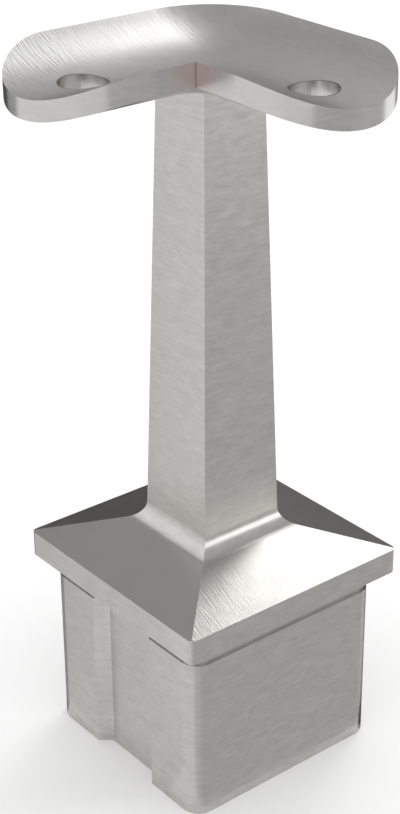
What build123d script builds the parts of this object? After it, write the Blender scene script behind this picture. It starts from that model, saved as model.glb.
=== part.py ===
from build123d import *
import os
from math import radians, tan

# Corner handrail bracket: a cast cap and stem that plugs into a square post, and the
# L-shaped saddle plate welded on top of it that carries a round rail round a corner.
# Millimetres, +Z up. The origin is on the post's axis, at the height of the post's cut end,
# which is the underside of the cap. One arm of the saddle points along +X, the other
# along -Y; the weld-seam groove of the spigot is in its -Y face.

# The post, and the spigot that fits in it
post_side = 40.0
post_wall = 2.0
spigot_clearance = 0.2          # gap to the tube on each side
spigot_length = 29.7            # below the cap
spigot_corner_radius = 3.0
spigot_wall = 3.0
pocket_corner_radius = 1.5
neck_height = 2.95              # recessed band just under the cap
neck_recess = 0.4

# The groove that clears the tube's inner weld seam
groove_width = 14.1             # at the spigot's face
groove_floor_width = 11.2
groove_depth = 1.84
groove_floor_radius = 1.0

# The cap on the post's end
cap_edge_height = 4.0
cap_corner_radius = 1.0
cap_slope_deg = 17.3            # of the four pyramid faces
cap_roof = 3.0                  # from the pocket's ceiling up to the cap's upper edge

# The stem, and the fillet at its foot
stem_foot_width = 14.4          # at the height of the cap's upper edge
stem_head_width = 10.4          # at the height of the rail's underside
stem_foot_radius = 3.2

# The rail, and the saddle plate that it lies in
rail_diameter = 42.4
rail_clearance = 0.3            # radial
rail_height = 80.0              # from the post's end to the lowest line of the saddle
saddle_thickness = 2.8
saddle_width = 24.4
arm_length = 30.8               # from the post's axis to the tip of an arm
hole_diameter = 6.5
hole_distance = 20.9            # from the post's axis

# Worked out from the sizes above
spigot_side = post_side - 2 * post_wall - 2 * spigot_clearance
cap_half = post_side / 2
seat_radius = rail_diameter / 2 + rail_clearance
under_radius = seat_radius + saddle_thickness
rail_axis_height = rail_height + seat_radius
saddle_half = saddle_width / 2
arm_reach = arm_length - saddle_half        # to the centre of its round end
diagonal = Plane(origin=(0, 0, 0), x_dir=(1, -1, 0), z_dir=(1, 1, 0))


def square_turned(profile):
    """The square solid whose outline, seen along X and along Y, is the same profile."""
    along_y = extrude(Plane.XZ * profile, amount=post_side, both=True)
    along_x = extrude(Plane.YZ * profile, amount=post_side, both=True)
    return along_y & along_x


def cap_and_stem_profile():
    """Outline of the cap, its slopes, the foot fillets and the tapered stem."""
    slope = tan(radians(cap_slope_deg))
    foot_half = stem_foot_width / 2
    head_half = stem_head_width / 2
    taper = (foot_half - head_half) / (rail_height - cap_edge_height)
    # Where the sloping cap meets the leaning side of the stem.
    foot_x = (foot_half - taper * slope * cap_half) / (1 - taper * slope)
    foot_z = cap_edge_height + slope * (cap_half - foot_x)
    side = [
        (cap_half, 0),
        (cap_half, cap_edge_height),
        (foot_x, foot_z),
        (head_half, rail_height),
    ]
    mirrored = [(-x, z) for x, z in reversed(side)]
    outline = make_face(Polyline(*side, *mirrored, close=True))
    feet = [v for v in outline.vertices() if abs(v.Y - foot_z) < 1e-6]
    return fillet(feet, stem_foot_radius)


def groove_section():
    """Trapezoid with rounded floor corners, open at the spigot's -Y face."""
    face_y = -spigot_side / 2
    flare = (groove_width - groove_floor_width) / 2 / groove_depth
    overshoot = groove_depth
    mouth_half = groove_width / 2 + flare * overshoot
    floor_half = groove_floor_width / 2
    corners = [
        (-mouth_half, face_y - overshoot),
        (mouth_half, face_y - overshoot),
        (floor_half, face_y + groove_depth),
        (-floor_half, face_y + groove_depth),
    ]
    outline = make_face(Polyline(*corners, close=True))
    floor_corners = outline.vertices().group_by(Axis.Y)[-1]
    return fillet(floor_corners, groove_floor_radius)


def rounded_square(side, corner_radius):
    """Square outline with round corners, centred on the post's axis."""
    return RectangleRounded(side, side, corner_radius)


def spigot():
    """Hollow plug: recessed neck, body, seam groove, and the pocket left by the casting core."""
    neck_side = spigot_side - 2 * neck_recess
    neck = extrude(rounded_square(neck_side, spigot_corner_radius - neck_recess), -neck_height)
    body_top = Plane.XY.offset(-neck_height)
    body_height = spigot_length - neck_height
    body = extrude(body_top * rounded_square(spigot_side, spigot_corner_radius), -body_height)
    groove = extrude(groove_section(), -spigot_length)
    return neck + body - groove


def pocket():
    """Space inside the spigot. Its wall follows the groove, so the casting stays even."""
    inner_side = spigot_side - 2 * spigot_wall
    behind_groove = offset(groove_section(), amount=spigot_wall, kind=Kind.INTERSECTION)
    section = rounded_square(inner_side, pocket_corner_radius) - behind_groove
    height = spigot_length + cap_edge_height - cap_roof
    return extrude(Plane.XY.offset(-spigot_length) * section, height)


def seat_half(side, reach, hollow):
    """Half of the saddle's section, from the middle of the trough out to a reach.

    It lies on the YZ plane, side +1 towards +Y and -1 towards -Y. Hollow, it is the plate
    itself, a band between two arcs; not hollow, it also holds the space of the rail.
    """
    align = (Align.MIN if side > 0 else Align.MAX, Align.MAX)
    half = Rectangle(reach, under_radius, align=align)
    disc = Circle(under_radius)
    if hollow:
        disc -= Circle(seat_radius)
    return Plane.YZ * Pos(0, rail_axis_height) * (half & disc)


def saddle_sweep(hollow):
    """The saddle's section carried round the corner, wider than the plate is cut.

    The outer half turns about the post's axis and makes a ball corner. The inner half turns
    about the plate's sharp inner corner. Between the two the trough's bottom stays level.
    """
    outer = seat_half(1, under_radius, hollow)
    arm_start = Pos(saddle_half, 0, 0)
    arm = extrude(outer, arm_length, dir=(1, 0, 0))
    arm += extrude(arm_start * seat_half(-1, under_radius, hollow), arm_reach, dir=(1, 0, 0))
    inner_corner = Axis((saddle_half, -saddle_half, 0), (0, 0, 1))
    turn = revolve(outer, Axis.Z, 90)
    turn += revolve(arm_start * seat_half(-1, saddle_half, hollow), inner_corner, 90)
    quarter = Rectangle(saddle_half, saddle_half, align=(Align.MIN, Align.MAX))
    quarter -= Pos(saddle_half, -saddle_half) * Circle(saddle_half)
    level_height = saddle_thickness if hollow else under_radius
    level = extrude(Pos(0, 0, rail_height - saddle_thickness) * quarter, level_height)
    return arm + mirror(arm, about=diagonal) + turn + level


def build_saddle_plate():
    """L-shaped trough with upright cut edges, round ends and a screw hole in each arm."""
    height = rail_height + under_radius
    arm_plan = Pos(arm_reach / 2, 0) * SlotCenterToCenter(arm_reach, saddle_width)
    plan = extrude(arm_plan, height)
    hole = Pos(hole_distance, 0, 0) * Cylinder(
        hole_diameter / 2, height, align=(Align.CENTER, Align.CENTER, Align.MIN)
    )
    cut_plan = plan + mirror(plan, about=diagonal) - hole - mirror(hole, about=diagonal)
    return saddle_sweep(hollow=True) & cut_plan


def build_post_adapter():
    """Spigot, cap and stem in one casting, the stem's head coped to the saddle."""
    corners = extrude(rounded_square(post_side, cap_corner_radius), rail_height)
    above = square_turned(cap_and_stem_profile()) & corners
    return above + spigot() - pocket() - saddle_sweep(hollow=False)


os.makedirs("parts", exist_ok=True)
export_step(build_post_adapter(), "parts/post_adapter.step")
export_step(build_saddle_plate(), "parts/saddle_plate.step")
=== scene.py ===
import math

import bpy
import numpy as np
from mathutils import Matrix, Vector


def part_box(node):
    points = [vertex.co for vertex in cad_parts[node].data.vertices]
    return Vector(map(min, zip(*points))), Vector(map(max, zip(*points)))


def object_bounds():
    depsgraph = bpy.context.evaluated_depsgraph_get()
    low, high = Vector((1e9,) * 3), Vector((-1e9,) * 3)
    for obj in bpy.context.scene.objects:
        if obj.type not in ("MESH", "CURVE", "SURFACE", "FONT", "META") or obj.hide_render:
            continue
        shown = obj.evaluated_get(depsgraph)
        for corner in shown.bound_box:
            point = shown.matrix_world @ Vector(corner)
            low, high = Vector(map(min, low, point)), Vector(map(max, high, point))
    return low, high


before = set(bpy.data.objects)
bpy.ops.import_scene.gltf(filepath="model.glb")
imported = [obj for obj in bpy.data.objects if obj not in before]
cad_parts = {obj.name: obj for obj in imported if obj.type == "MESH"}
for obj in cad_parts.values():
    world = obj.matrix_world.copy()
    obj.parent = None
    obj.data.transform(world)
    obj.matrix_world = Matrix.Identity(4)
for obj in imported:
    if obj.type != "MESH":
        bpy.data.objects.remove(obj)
cad_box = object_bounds()
scene = bpy.context.scene
scene.view_settings.view_transform = "Standard"


# Post adapter
# The casting that closes the post's end: a hollow spigot, the cap with its four slopes and the
# tapered stem, all one piece. It is investment-cast stainless steel, ground and then brushed on
# a belt: level strokes round the sides, strokes down the slopes of the cap.
def linear(hex_colour):
    """Linear colour of an sRGB hex value, with alpha 1.

    A channel up to 0.04045 is divided by 12.92. To a larger one 0.055 is added, and the sum
    is divided by 1.055 and raised to the power 2.4.
    """
    channels = [int(hex_colour[i:i + 2], 16) / 255 for i in (1, 3, 5)]
    values = [c / 12.92 if c <= 0.04045 else ((c + 0.055) / 1.055) ** 2.4 for c in channels]
    return (*values, 1.0)


def add(tree, kind, settings=None, links=None):
    """Adds a node of this kind to the tree, and returns it.

    Settings hold values by the name of a property, or by the name or number of an input. Links
    hold the outputs that feed inputs, by the input's name or number.
    """
    node = tree.nodes.new(kind)
    for name, value in (settings or {}).items():
        if isinstance(name, int) or name in node.inputs.keys():
            node.inputs[name].default_value = value
        else:
            setattr(node, name, value)
    for name, output in (links or {}).items():
        tree.links.new(output, node.inputs[name])
    return node


def brushed_steel(tree, shades, strokes, mottle, spread, depth, tone, dullness):
    """The finish that both pieces share, from belt strokes and a slower mottle.

    Strokes and mottle are coordinates counted in strokes. The mean of their two noises picks
    the steel's colour between its two shades, and tone is the share of it that is kept: at 0
    the colour is even. The strokes alone are the scratches, whose full depth is in metres, and
    spread is the direction in which they widen a reflection. The roughness is dullness plus a
    small share of the mottle. Returns the shader.
    """
    mottle_dullness = 0.08
    hairlines = add(tree, "ShaderNodeTexNoise", {"Scale": 1.0, "Detail": 2.0, "Distortion": 0.25},
                    {"Vector": strokes})
    waves = add(tree, "ShaderNodeTexNoise", {"Scale": 1.0, "Detail": 1.0, "Distortion": 0.8},
                {"Vector": mottle})
    both = add(tree, "ShaderNodeMix", {0: 0.5},
               {2: hairlines.outputs["Fac"], 3: waves.outputs["Fac"]})
    shade = add(tree, "ShaderNodeMix", {2: 0.5}, {0: tone, 3: both.outputs[0]})
    colour = add(tree, "ShaderNodeMix",
                 {"data_type": "RGBA", 6: linear(shades[0]), 7: linear(shades[1])},
                 {0: shade.outputs[0]})
    roughness = add(tree, "ShaderNodeMath", {"operation": "MULTIPLY_ADD", 1: mottle_dullness},
                    {0: waves.outputs["Fac"], 2: dullness})
    bump = add(tree, "ShaderNodeBump", {}, {"Height": hairlines.outputs["Fac"], "Distance": depth})
    shader = add(tree, "ShaderNodeBsdfPrincipled", {"Metallic": 1.0, "Anisotropic": 0.3}, {
        "Base Color": colour.outputs[2],
        "Roughness": roughness.outputs[0],
        "Normal": bump.outputs[0],
        "Tangent": spread,
    })
    add(tree, "ShaderNodeOutputMaterial", links={"Surface": shader.outputs[0]})
    return shader


# Satin stainless, belt-brushed at about 240 grit: pale warm grey, soft reflections drawn out
# across the strokes, hairlines that catch the light. Real scratches are some 0.05 mm apart,
# too fine to show, so they are drawn 0.32 mm apart and 3.4 mm long on the sides, and 0.2 mm
# apart and 4 mm long on the slopes.
casting_shades = ("#ADABA7", "#D8D6D2")
stroke_spacing = 0.00032
stroke_length = 0.0034
mottle_height = 0.0009
mottle_length = 0.0028
slope_spacing = 0.0002
slope_length = 0.004
slope_stroke_turn = math.radians(7)
side_dullness = 0.26
slope_dullness = 0.27

casting = bpy.data.materials.new("satin_stainless_casting")
casting.use_nodes = True
tree = casting.node_tree
tree.nodes.clear()
surface = add(tree, "ShaderNodeTexCoord")
normal = add(tree, "ShaderNodeSeparateXYZ", links={0: surface.outputs["Normal"]})
lean_x = add(tree, "ShaderNodeMath", {"operation": "ABSOLUTE"}, {0: normal.outputs[0]})
lean_y = add(tree, "ShaderNodeMath", {"operation": "ABSOLUTE"}, {0: normal.outputs[1]})
# The strokes run down the slopes of the cap, which face up more steeply than its fillets. The
# two limits are the least upward part of the normal of a slope and of a fillet.
slope_limit = 0.935
fillet_limit = 0.15
on_slope = add(tree, "ShaderNodeMath", {"operation": "GREATER_THAN", 1: slope_limit},
               {0: normal.outputs[2]})
faces_y = add(tree, "ShaderNodeMath", {"operation": "GREATER_THAN"},
              {0: lean_y.outputs[0], 1: lean_x.outputs[0]})
level = add(tree, "ShaderNodeMapping",
            {"vector_type": "TEXTURE", "Scale": (stroke_length, stroke_length, stroke_spacing)},
            {"Vector": surface.outputs["Object"]})
down_x = add(tree, "ShaderNodeMapping",
             {"vector_type": "TEXTURE", "Rotation": (0, 0, -slope_stroke_turn),
              "Scale": (slope_length, slope_spacing, slope_length)},
             {"Vector": surface.outputs["Object"]})
down_y = add(tree, "ShaderNodeMapping",
             {"vector_type": "TEXTURE", "Scale": (slope_spacing, slope_length, slope_length)},
             {"Vector": surface.outputs["Object"]})
down = add(tree, "ShaderNodeMix", {"data_type": "VECTOR"},
           {0: faces_y.outputs[0], 4: down_x.outputs[0], 5: down_y.outputs[0]})
strokes = add(tree, "ShaderNodeMix", {"data_type": "VECTOR"},
              {0: on_slope.outputs[0], 4: level.outputs[0], 5: down.outputs[1]})
mottle = add(tree, "ShaderNodeMapping",
             {"vector_type": "TEXTURE", "Scale": (mottle_length, mottle_length, mottle_height)},
             {"Vector": surface.outputs["Object"]})
# Level strokes widen a reflection up and down. On the fillets and slopes it widens level: at
# right angles to the normal and to a line a little off the vertical, so it is never zero.
leaning_up = (0.01, 0.02, 1)
sideways = add(tree, "ShaderNodeVectorMath", {"operation": "CROSS_PRODUCT", 1: leaning_up},
               {0: surface.outputs["Normal"]})
faces_up = add(tree, "ShaderNodeMath", {"operation": "GREATER_THAN", 1: fillet_limit},
               {0: normal.outputs[2]})
spread = add(tree, "ShaderNodeMix", {"data_type": "VECTOR", 4: (0, 0, 1)},
             {0: faces_up.outputs[0], 5: sideways.outputs[0]})
# The strokes show as scratches on the slopes that lean towards X alone, and are deepest near
# the -Y rim. Elsewhere they are too shallow, and only the colour shows them.
rim_scratch = 0.0002
far_scratch = 0.000013
rim_y = -0.018
far_y = 0.002
place = add(tree, "ShaderNodeSeparateXYZ", links={0: surface.outputs["Object"]})
grinding = add(tree, "ShaderNodeMapRange",
               {"From Min": rim_y, "From Max": far_y, "To Min": rim_scratch, "To Max": far_scratch},
               {"Value": place.outputs[1]})
x_slope = add(tree, "ShaderNodeMath", {"operation": "MULTIPLY"},
              {0: on_slope.outputs[0], 1: lean_x.outputs[0]})
depth = add(tree, "ShaderNodeMath", {"operation": "MULTIPLY"},
            {0: grinding.outputs[0], 1: x_slope.outputs[0]})
# The slopes have one even shade.
tone = add(tree, "ShaderNodeMath", {"operation": "SUBTRACT", 0: 1.0}, {1: on_slope.outputs[0]})
dullness = add(tree, "ShaderNodeMapRange", {"To Min": side_dullness, "To Max": slope_dullness},
               {"Value": on_slope.outputs[0]})
brushed_steel(tree, casting_shades, strokes.outputs[1], mottle.outputs[0],
              spread.outputs[1], depth.outputs[0], tone.outputs[0], dullness.outputs[0])
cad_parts["post_adapter"].data.materials.clear()
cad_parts["post_adapter"].data.materials.append(casting)


# Saddle plate
# The L-shaped trough that carries the rail round the corner: stainless plate, cut to its outline,
# pressed to the rail's radius and welded on the stem's head, with one screw hole in each arm.
# The sheet was brushed along X before it was pressed.
def stain_and_painted_light(tree, colour, stain_and_shade_hex, factor):
    """The colour mixed by factor with a hex colour: the real heat tint, and painted light and
    shade.
    """
    mix = add(tree, "ShaderNodeMix", {"data_type": "RGBA", 7: linear(stain_and_shade_hex)},
              {0: factor, 6: colour})
    return mix.outputs[2]


# Satin stainless plate, brushed as a flat sheet: neutral grey, with strokes that catch the light
# in the trough and reflections drawn out across the arms. Real scratches are too fine to show,
# so the trough's strokes are drawn 0.22 mm apart and 2.6 mm long, and those of the edge with
# the casting's sizes.
plate_shades = ("#ABAAA8", "#D9D8D6")
# Painted light: the hole walls' colour is lifted to stand in for light inside the holes.
hole_wall_painted_light = "#D2CFCD"
# Painted shade: the fine dark rim round each hole's edge.
hole_rim_painted_shade = "#77756F"
# Painted shade: the darker band along the arms' inner sides.
lip_painted_shade = "#77756F"
heat_stain = "#C8BEBC"
# Painted shade: the fine dark line in the inner corner's crease.
seam_painted_shade = "#B2ABA5"
trough_spacing = 0.00022
trough_length = 0.0026
trough_tone = 0.5
edge_tone = 0.6
trough_dullness = 0.31
edge_dullness = 0.20
hole_distance = 0.0209
plate_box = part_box("saddle_plate")
inner_corner = (-plate_box[0].x, -plate_box[1].y)

plate = bpy.data.materials.new("satin_stainless_plate")
plate.use_nodes = True
tree = plate.node_tree
tree.nodes.clear()
surface = add(tree, "ShaderNodeTexCoord")
normal = add(tree, "ShaderNodeSeparateXYZ", links={0: surface.outputs["Normal"]})
place = add(tree, "ShaderNodeSeparateXYZ", links={0: surface.outputs["Object"]})
# How far a point lies from the inner corner along X and along Y, and how far out it lies from
# the plate's inner side: straight across on an arm, along the ribs of a fan in the elbow.
from_x = add(tree, "ShaderNodeMath", {"operation": "SUBTRACT", 1: inner_corner[0]},
             {0: place.outputs[0]})
from_y = add(tree, "ShaderNodeMath", {"operation": "SUBTRACT", 1: inner_corner[1]},
             {0: place.outputs[1]})
fan_x = add(tree, "ShaderNodeMath", {"operation": "MINIMUM", 1: 0.0}, {0: from_x.outputs[0]})
fan_y = add(tree, "ShaderNodeMath", {"operation": "MAXIMUM", 1: 0.0}, {0: from_y.outputs[0]})
radial = add(tree, "ShaderNodeCombineXYZ", links={0: fan_x.outputs[0], 1: fan_y.outputs[0]})
across = add(tree, "ShaderNodeVectorMath", {"operation": "LENGTH"}, {0: radial.outputs[0]})
# The fan's angle in radians is 0 on the arm along Y and a quarter turn on the arm along X.
outwards = add(tree, "ShaderNodeMath", {"operation": "MULTIPLY", 1: -1.0}, {0: fan_x.outputs[0]})
angle = add(tree, "ShaderNodeMath", {"operation": "ARCTAN2"},
            {0: fan_y.outputs[0], 1: outwards.outputs[0]})
# The cut edge and the walls of the holes stand upright, the trough and its underside don't.
upright_limit = 0.5
uprightness = add(tree, "ShaderNodeMath", {"operation": "ABSOLUTE"}, {0: normal.outputs[2]})
in_trough = add(tree, "ShaderNodeMath", {"operation": "GREATER_THAN", 1: upright_limit},
                {0: uprightness.outputs[0]})
on_edge = add(tree, "ShaderNodeMath", {"operation": "SUBTRACT", 0: 1.0},
              {1: in_trough.outputs[0]})
trough_strokes = add(tree, "ShaderNodeMapping",
                     {"vector_type": "TEXTURE",
                      "Scale": (trough_length, trough_spacing, trough_length)},
                     {"Vector": surface.outputs["Object"]})
edge_strokes = add(tree, "ShaderNodeMapping",
                   {"vector_type": "TEXTURE",
                    "Scale": (stroke_length, stroke_length, stroke_spacing)},
                   {"Vector": surface.outputs["Object"]})
strokes = add(tree, "ShaderNodeMix", {"data_type": "VECTOR"},
              {0: in_trough.outputs[0], 4: edge_strokes.outputs[0], 5: trough_strokes.outputs[0]})
trough_mottle = add(tree, "ShaderNodeMapping",
                    {"vector_type": "TEXTURE",
                     "Scale": (mottle_length, mottle_height, mottle_length)},
                    {"Vector": surface.outputs["Object"]})
edge_mottle = add(tree, "ShaderNodeMapping",
                  {"vector_type": "TEXTURE",
                   "Scale": (mottle_length, mottle_length, mottle_height)},
                  {"Vector": surface.outputs["Object"]})
mottle = add(tree, "ShaderNodeMix", {"data_type": "VECTOR"},
             {0: in_trough.outputs[0], 4: edge_mottle.outputs[0], 5: trough_mottle.outputs[0]})
spread = add(tree, "ShaderNodeMix", {"data_type": "VECTOR", 4: (0, 0, 1)},
             {0: in_trough.outputs[0], 5: radial.outputs[0]})
# The scratches are deeper towards the outer lip. On the arm along Y they are deepest towards its
# tip, where the belt bore hard, and on the arm along X they are faint.
inner_scratch = 0.00001
outer_scratch = 0.00005
outer_lip = 0.018
tip_y = -0.009
tip_bearing = 1.2
elbow_bearing = 0.6
x_arm_bearing = 0.1
fan_from = 0.6
fan_to = 1.2
outer = add(tree, "ShaderNodeMapRange",
            {"From Max": outer_lip, "To Min": inner_scratch, "To Max": outer_scratch},
            {"Value": across.outputs["Value"]})
y_arm_bearing = add(tree, "ShaderNodeMapRange",
                    {"From Min": tip_y, "From Max": 0.0,
                     "To Min": tip_bearing, "To Max": elbow_bearing},
                    {"Value": from_y.outputs[0]})
bearing = add(tree, "ShaderNodeMapRange",
              {"From Min": fan_from, "From Max": fan_to, "To Max": x_arm_bearing},
              {"Value": angle.outputs[0], "To Min": y_arm_bearing.outputs[0]})
pressed = add(tree, "ShaderNodeMath", {"operation": "MULTIPLY"},
              {0: outer.outputs[0], 1: bearing.outputs[0]})
depth = add(tree, "ShaderNodeMath", {"operation": "MULTIPLY"},
            {0: pressed.outputs[0], 1: in_trough.outputs[0]})
# The trough is duller than the ground edge, and more even in colour.
tone = add(tree, "ShaderNodeMapRange", {"To Min": edge_tone, "To Max": trough_tone},
           {"Value": in_trough.outputs[0]})
dullness = add(tree, "ShaderNodeMapRange", {"To Min": edge_dullness, "To Max": trough_dullness},
               {"Value": in_trough.outputs[0]})
steel = brushed_steel(tree, plate_shades, strokes.outputs[1], mottle.outputs[1],
                      spread.outputs[1], depth.outputs[0], tone.outputs[0], dullness.outputs[0])
# The trough is painted darker along the arms' inner sides, except close to the inner corner:
# a painted shade that stands in for the darker reflection there.
lip_strength = 0.6
lip_from = 0.006
lip_to = 0.0105
corner_from = 0.006
corner_to = 0.012
from_corner = add(tree, "ShaderNodeCombineXYZ",
                  links={0: from_x.outputs[0], 1: from_y.outputs[0]})
corner_distance = add(tree, "ShaderNodeVectorMath", {"operation": "LENGTH"},
                      {0: from_corner.outputs[0]})
along_lip = add(tree, "ShaderNodeMapRange",
                {"From Min": corner_from, "From Max": corner_to, "To Max": lip_strength},
                {"Value": corner_distance.outputs["Value"]})
painted_lip_shade = add(tree, "ShaderNodeMapRange",
                {"From Min": lip_from, "From Max": lip_to, "To Max": 0.0},
                {"Value": across.outputs["Value"], "To Min": along_lip.outputs[0]})
lip = add(tree, "ShaderNodeMath", {"operation": "MULTIPLY"},
          {0: painted_lip_shade.outputs[0], 1: in_trough.outputs[0]})
# The weld has left a rosy heat tint on the cut edge round the inner corner, and where the edge's
# two sides meet there a fine dark line of painted shade marks the crease.
heat_from = 0.0015
heat_to = 0.0055
seam_from = 0.0001
seam_to = 0.0002
heat = add(tree, "ShaderNodeMapRange", {"From Min": heat_from, "From Max": heat_to, "To Max": 0.0},
           {"Value": corner_distance.outputs["Value"], "To Min": on_edge.outputs[0]})
seam = add(tree, "ShaderNodeMapRange", {"From Min": seam_from, "From Max": seam_to, "To Max": 0.0},
           {"Value": corner_distance.outputs["Value"], "To Min": on_edge.outputs[0]})
# The walls of the screw holes are painted brighter, a painted light that lifts the shade inside
# the holes. Their edge is a fine dark rim of painted shade, 0.2 mm wide.
rim_radius = 0.00345
plan = add(tree, "ShaderNodeCombineXYZ", links={0: place.outputs[0], 1: place.outputs[1]})
to_hole_x = add(tree, "ShaderNodeVectorMath", {"operation": "DISTANCE", 1: (hole_distance, 0, 0)},
                {0: plan.outputs[0]})
to_hole_y = add(tree, "ShaderNodeVectorMath", {"operation": "DISTANCE", 1: (0, -hole_distance, 0)},
                {0: plan.outputs[0]})
to_hole = add(tree, "ShaderNodeMath", {"operation": "MINIMUM"},
              {0: to_hole_x.outputs["Value"], 1: to_hole_y.outputs["Value"]})
drilled = add(tree, "ShaderNodeMath", {"operation": "LESS_THAN", 1: rim_radius},
              {0: to_hole.outputs[0]})
hole_wall_light = add(tree, "ShaderNodeMath", {"operation": "MULTIPLY"},
                {0: drilled.outputs[0], 1: on_edge.outputs[0]})
hole_rim_shade = add(tree, "ShaderNodeMath", {"operation": "MULTIPLY"},
               {0: drilled.outputs[0], 1: in_trough.outputs[0]})
# Painted light and painted shade go into the steel's colour here, along with the real heat tint.
colour = steel.inputs["Base Color"].links[0].from_socket
colour = stain_and_painted_light(tree, colour, hole_wall_painted_light, hole_wall_light.outputs[0])
colour = stain_and_painted_light(tree, colour, hole_rim_painted_shade, hole_rim_shade.outputs[0])
colour = stain_and_painted_light(tree, colour, lip_painted_shade, lip.outputs[0])
colour = stain_and_painted_light(tree, colour, heat_stain, heat.outputs[0])
colour = stain_and_painted_light(tree, colour, seam_painted_shade, seam.outputs[0])
tree.links.new(colour, steel.inputs["Base Color"])
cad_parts["saddle_plate"].data.materials.clear()
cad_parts["saddle_plate"].data.materials.append(plate)


# Floor
# A wide sheet of white background paper, on which the spigot stands. It is matt, so the eye
# gets an even white ground with a soft shadow and no gloss.
floor_half = 8.0
floor_z = cad_box[0].z
floor_mesh = bpy.data.meshes.new("floor")
floor_mesh.from_pydata(
    [(-floor_half, -floor_half, floor_z), (floor_half, -floor_half, floor_z),
     (floor_half, floor_half, floor_z), (-floor_half, floor_half, floor_z)],
    [], [(0, 1, 2, 3)])
floor = bpy.data.objects.new("floor", floor_mesh)
scene.collection.objects.link(floor)
paper = bpy.data.materials.new("white_paper")
paper.use_nodes = True
paper_shader = paper.node_tree.nodes["Principled BSDF"]
paper_shader.inputs["Base Color"].default_value = linear("#FCFCFC")
paper_shader.inputs["Roughness"].default_value = 0.9
floor_mesh.materials.append(paper)


# Studio light
# A white tent lights the bracket evenly. A large softbox behind it and a low one at the right
# add the highlights. Pale, grey and black cards stand round it and lie on the floor for the
# steel to reflect.
centre = Vector((0, 0, 0.028))
world = bpy.data.worlds.new("white_tent")
scene.world = world
world.use_nodes = True
world.node_tree.nodes["Background"].inputs["Color"].default_value = (1, 1, 1, 1)
world.node_tree.nodes["Background"].inputs["Strength"].default_value = 1.0


def towards(azimuth, elevation):
    """Unit vector: azimuth in degrees from +Y towards +X, elevation above the horizon."""
    a = math.radians(azimuth)
    e = math.radians(elevation)
    return Vector((math.sin(a) * math.cos(e), math.cos(a) * math.cos(e), math.sin(e)))


def softbox(name, azimuth, elevation, distance, width, height, radiance):
    """A rectangular lamp that faces the bracket: its power is radiance times pi times area."""
    lamp = bpy.data.lights.new(name, "AREA")
    lamp.shape = "RECTANGLE"
    lamp.size = width
    lamp.size_y = height
    lamp.energy = radiance * math.pi * width * height
    holder = bpy.data.objects.new(name, lamp)
    scene.collection.objects.link(holder)
    holder.location = centre + towards(azimuth, elevation) * distance
    holder.rotation_mode = "QUATERNION"
    holder.rotation_quaternion = (-towards(azimuth, elevation)).to_track_quat("-Z", "Y")
    holder.visible_camera = False


def card(name, points, faces, brightness):
    """A card of an even brightness that only the steel's reflections see."""
    mesh = bpy.data.meshes.new(name)
    mesh.from_pydata(points, [], faces)
    panel = bpy.data.objects.new(name, mesh)
    scene.collection.objects.link(panel)
    cover = bpy.data.materials.new(name)
    cover.use_nodes = True
    cover.node_tree.nodes.clear()
    glow = add(cover.node_tree, "ShaderNodeEmission",
               {"Color": (1, 1, 1, 1), "Strength": brightness})
    add(cover.node_tree, "ShaderNodeOutputMaterial", links={"Surface": glow.outputs[0]})
    mesh.materials.append(cover)
    panel.visible_camera = False
    panel.visible_diffuse = False
    panel.visible_shadow = False


def curved_card(name, azimuths, elevations, distance, brightness):
    """A patch of a sphere round the bracket, on a grid of azimuth and elevation in degrees."""
    steps = 12
    az = np.radians(np.linspace(*azimuths, steps + 1))
    el = np.radians(np.linspace(*elevations, steps + 1))
    az, el = np.meshgrid(az, el)
    points = np.stack([np.sin(az) * np.cos(el), np.cos(az) * np.cos(el), np.sin(el)], 2)
    points = points.reshape(-1, 3) * distance + np.array(centre)
    row = np.arange(steps)
    corner = (row[:, None] * (steps + 1) + row).ravel()
    faces = np.stack([corner, corner + 1, corner + steps + 2, corner + steps + 1], 1)
    card(name, points.tolist(), faces.tolist(), brightness)


def floor_card(name, outline, brightness, lift):
    """A flat card that lies just above the floor: its outline as x and y in metres."""
    points = [(x, y, floor_z + lift) for x, y in outline]
    card(name, points, [tuple(range(len(outline)))], brightness)


softbox("key", azimuth=-26, elevation=43, distance=0.7, width=0.26, height=0.30, radiance=3.1)
softbox("strip", azimuth=50, elevation=7.5, distance=0.7, width=0.20, height=0.26, radiance=2.1)

# The cards round the bracket lie on a dome, apart from the two behind it, which stand a little
# nearer.
dome = 0.9
nearer = 0.85
curved_card("glow_left", (-150, -112), (5, 45), dome, 1.18)
curved_card("roof_far_left", (-97, -84), (20, 62), dome, 0.22)
curved_card("roof_left", (-84, -66), (20, 62), dome, 0.44)
curved_card("roof_low", (-66, 20), (21, 32), dome, 0.42)
curved_card("roof_middle", (-66, 20), (32, 62), dome, 0.56)
curved_card("roof_right", (20, 75), (22, 62), dome, 0.60)
curved_card("roof_top", (-97, 263), (62, 90), dome, 0.47)
curved_card("black_back", (-86, -46), (-8, 20), nearer, 0.02)
curved_card("grey_back", (-46, -20), (-8, 21), nearer, 0.08)

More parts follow.
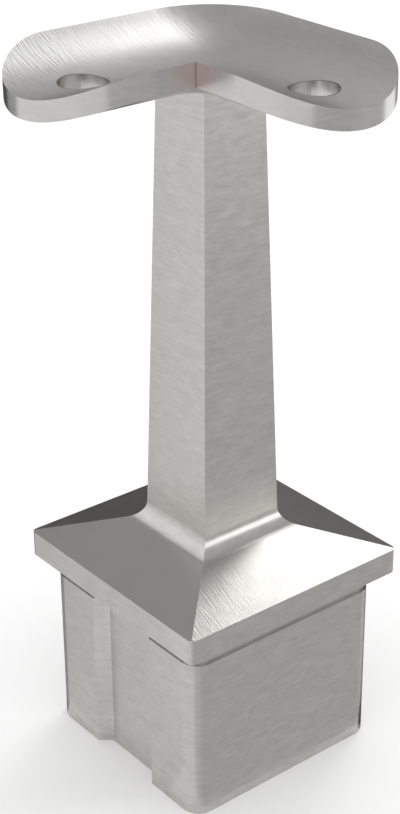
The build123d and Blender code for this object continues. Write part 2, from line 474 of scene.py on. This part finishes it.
# The cards on the floor lie in two layers, at these heights above it.
under = 0.0004
over = 0.0008
floor_card("black_foot_left", [(-0.0165, -0.0182), (-0.066, 0.002), (-0.058, 0.030),
                               (-0.0184, -0.010)], 0.04, over)
floor_card("black_foot_back", [(0.0182, 0.0165), (0.0190, 0.021), (-0.012, 0.070),
                               (-0.040, 0.056), (0.006, 0.0184)], 0.04, over)
floor_card("dark_sweep", [(-0.0165, -0.0182), (-0.434, -0.269), (-0.45, 0.5), (0.06, 0.5),
                          (0.0182, 0.0165)], 0.34, under)
floor_card("black_sweep", [(-0.158, -0.022), (-0.13, 0.06), (-0.09, 0.12), (-0.20, 0.42),
                           (-0.45, 0.36), (-0.50, -0.07)], 0.02, over)
floor_card("white_sweep", [(-0.04, 0.14), (0.070, 0.14), (0.12, 0.40), (-0.09, 0.40)],
           1.5, over)
floor_card("grey_sweep", [(0.019, -0.0168), (1.2, -0.60), (1.2, 1.2), (0.34, 1.2),
                          (0.019, 0.019)], 0.56, under)
floor_card("pale_sweep", [(-0.0176, -0.019), (-0.26, -0.17), (-0.17, -0.30), (0.0, -0.019)],
           0.98, under)
floor_card("pale_foot", [(-0.0176, -0.019), (-0.065, -0.055), (-0.050, -0.075),
                         (0.008, -0.019)], 0.76, over)
floor_card("white_front", [(0.010, -0.019), (-0.15, -0.30), (0.17, -0.28), (0.019, -0.019)],
           0.88, under)
floor_card("pale_front", [(0.019, -0.019), (0.17, -0.28), (0.30, -0.16), (0.019, -0.0168)],
           0.66, under)


# Camera
# A long lens looks down at the bracket's corner from the front right. The aim, the lens and a
# small shift give the photograph's framing.
camera_azimuth = math.radians(50.49)
camera_elevation = math.radians(26.54)
camera_distance = 0.26127
aim_right = 0.00227
aim_height = 0.0279
lens_mm = 78.12
shift_right = -0.0331
shift_up = -0.0082
nearest = 0.01

camera = bpy.data.objects.new("camera", bpy.data.cameras.new("camera"))
scene.collection.objects.link(camera)
to_camera = Vector((
    math.sin(camera_azimuth) * math.cos(camera_elevation),
    -math.cos(camera_azimuth) * math.cos(camera_elevation),
    math.sin(camera_elevation),
))
picture_right = Vector((math.cos(camera_azimuth), math.sin(camera_azimuth), 0))
aim = picture_right * aim_right + Vector((0, 0, aim_height))
camera.location = aim + to_camera * camera_distance
camera.rotation_mode = "QUATERNION"
camera.rotation_quaternion = (-to_camera).to_track_quat("-Z", "Y")
camera.data.lens = lens_mm
camera.data.shift_x = shift_right
camera.data.shift_y = shift_up
camera.data.clip_start = nearest
scene.camera = camera
